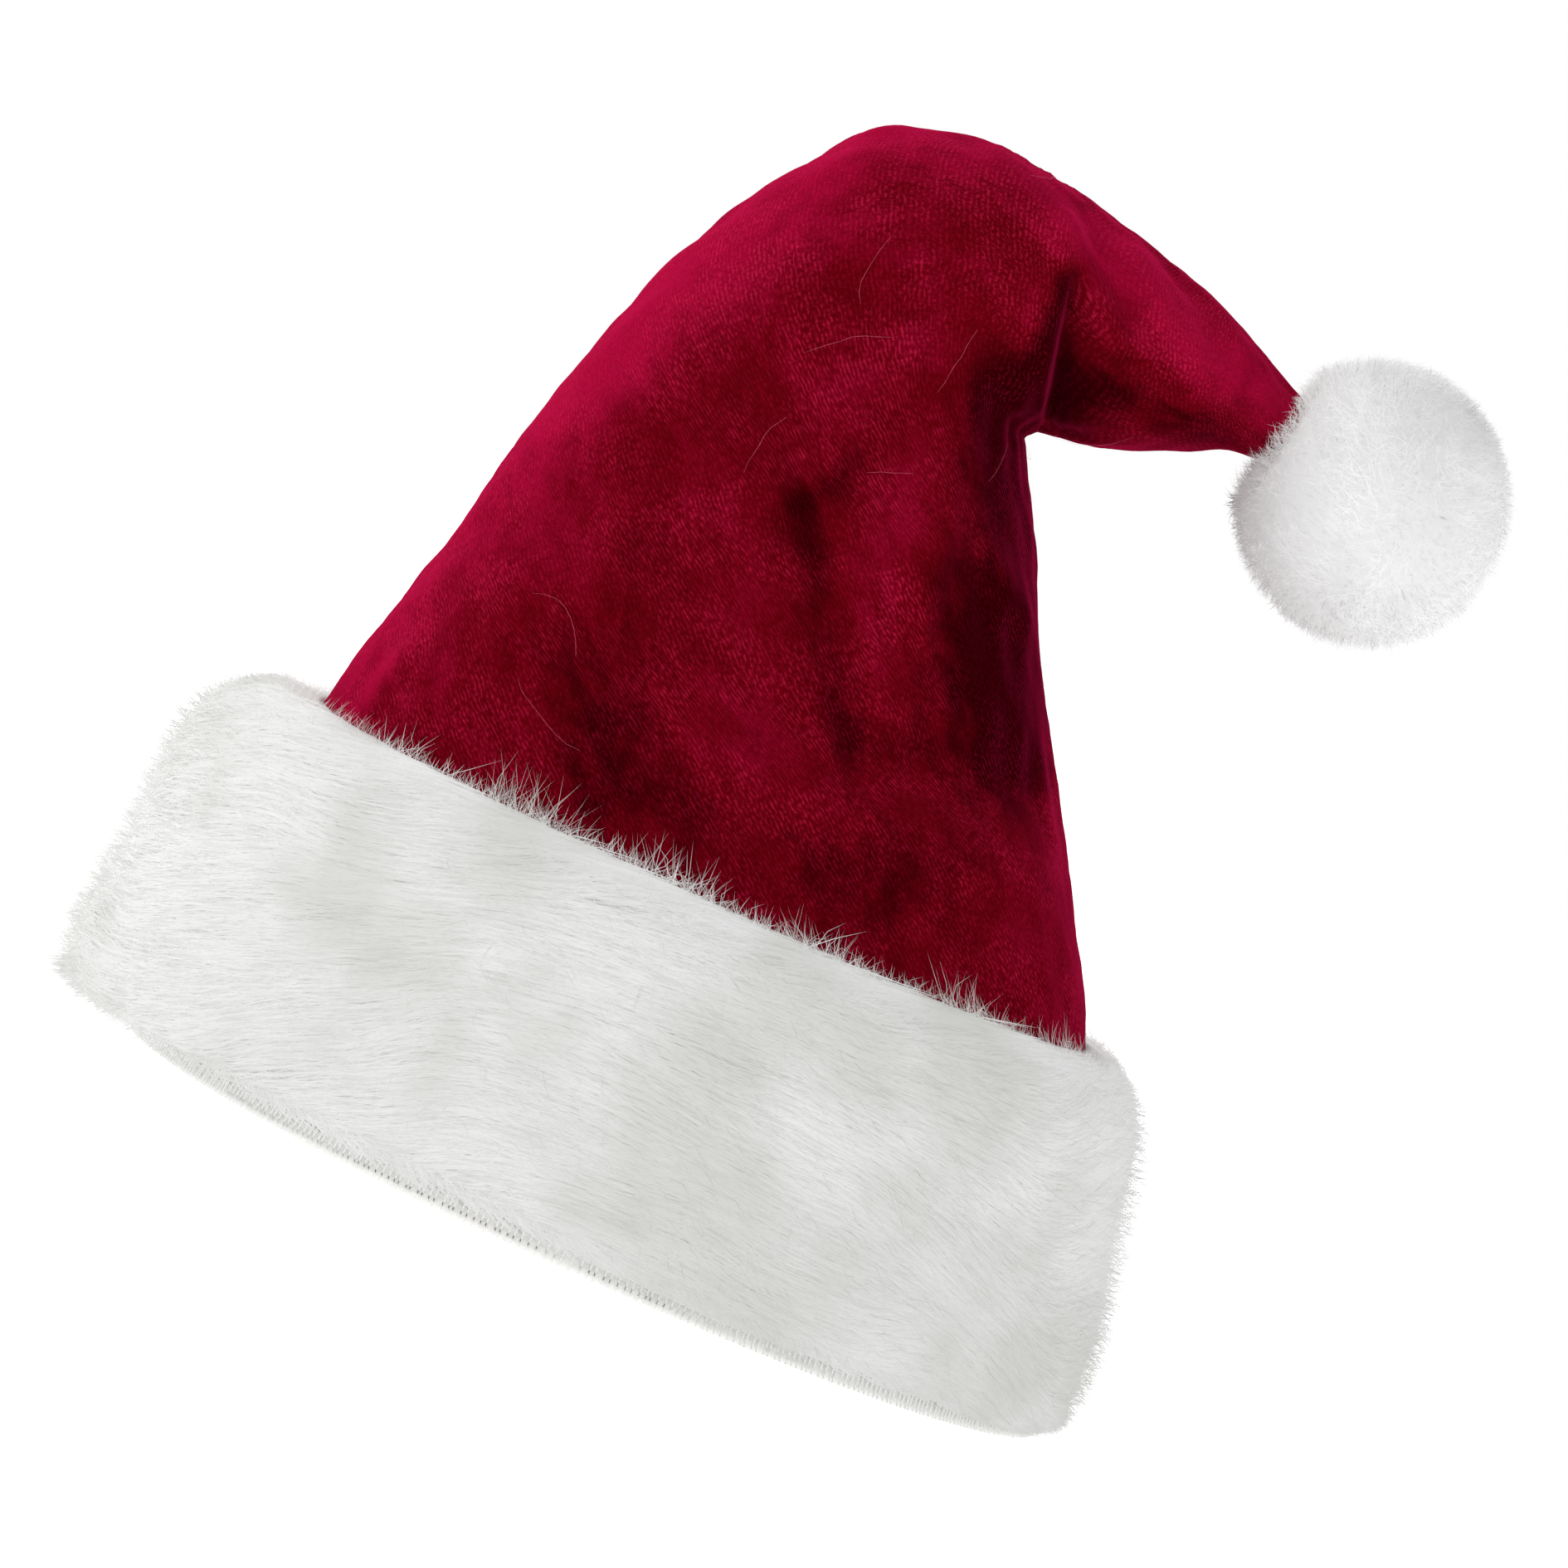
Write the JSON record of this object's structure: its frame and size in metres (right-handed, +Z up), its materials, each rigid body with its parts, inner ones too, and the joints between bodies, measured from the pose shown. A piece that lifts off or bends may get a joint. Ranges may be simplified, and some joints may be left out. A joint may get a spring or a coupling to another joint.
{
  "type": "santa hat",
  "caption": "Soft pointed velvet hat with its tip bent over to one side, a deep fur cuff round the head opening, a cloth facing inside and a fur pompom on the tip.",
  "frame": {"origin": "middle of the head opening, in the plane that the rim rests on", "axes": "+Z up from the rim to the crown, +X along the long way of the opening towards the side that the tip hangs to, +Y to the back"},
  "size_m": [0.2696, 0.1902, 0.272],
  "materials": {
    "velvet": "short crushed velvet pile in deep raspberry red, brighter at grazing angles",
    "cuff_fur": "long soft white faux fur, combed round the cuff",
    "facing": "matt beige knit cloth",
    "overlock": "white overlock stitching",
    "pompom_fur": "short dense white faux fur"
  },
  "bodies": {
    "root": {"crown": "velvet", "cuff_fur": "cuff_fur", "cuff_facing": "facing", "rim_hem": "overlock", "pompom": "pompom_fur"}
  },
  "joints": []
}
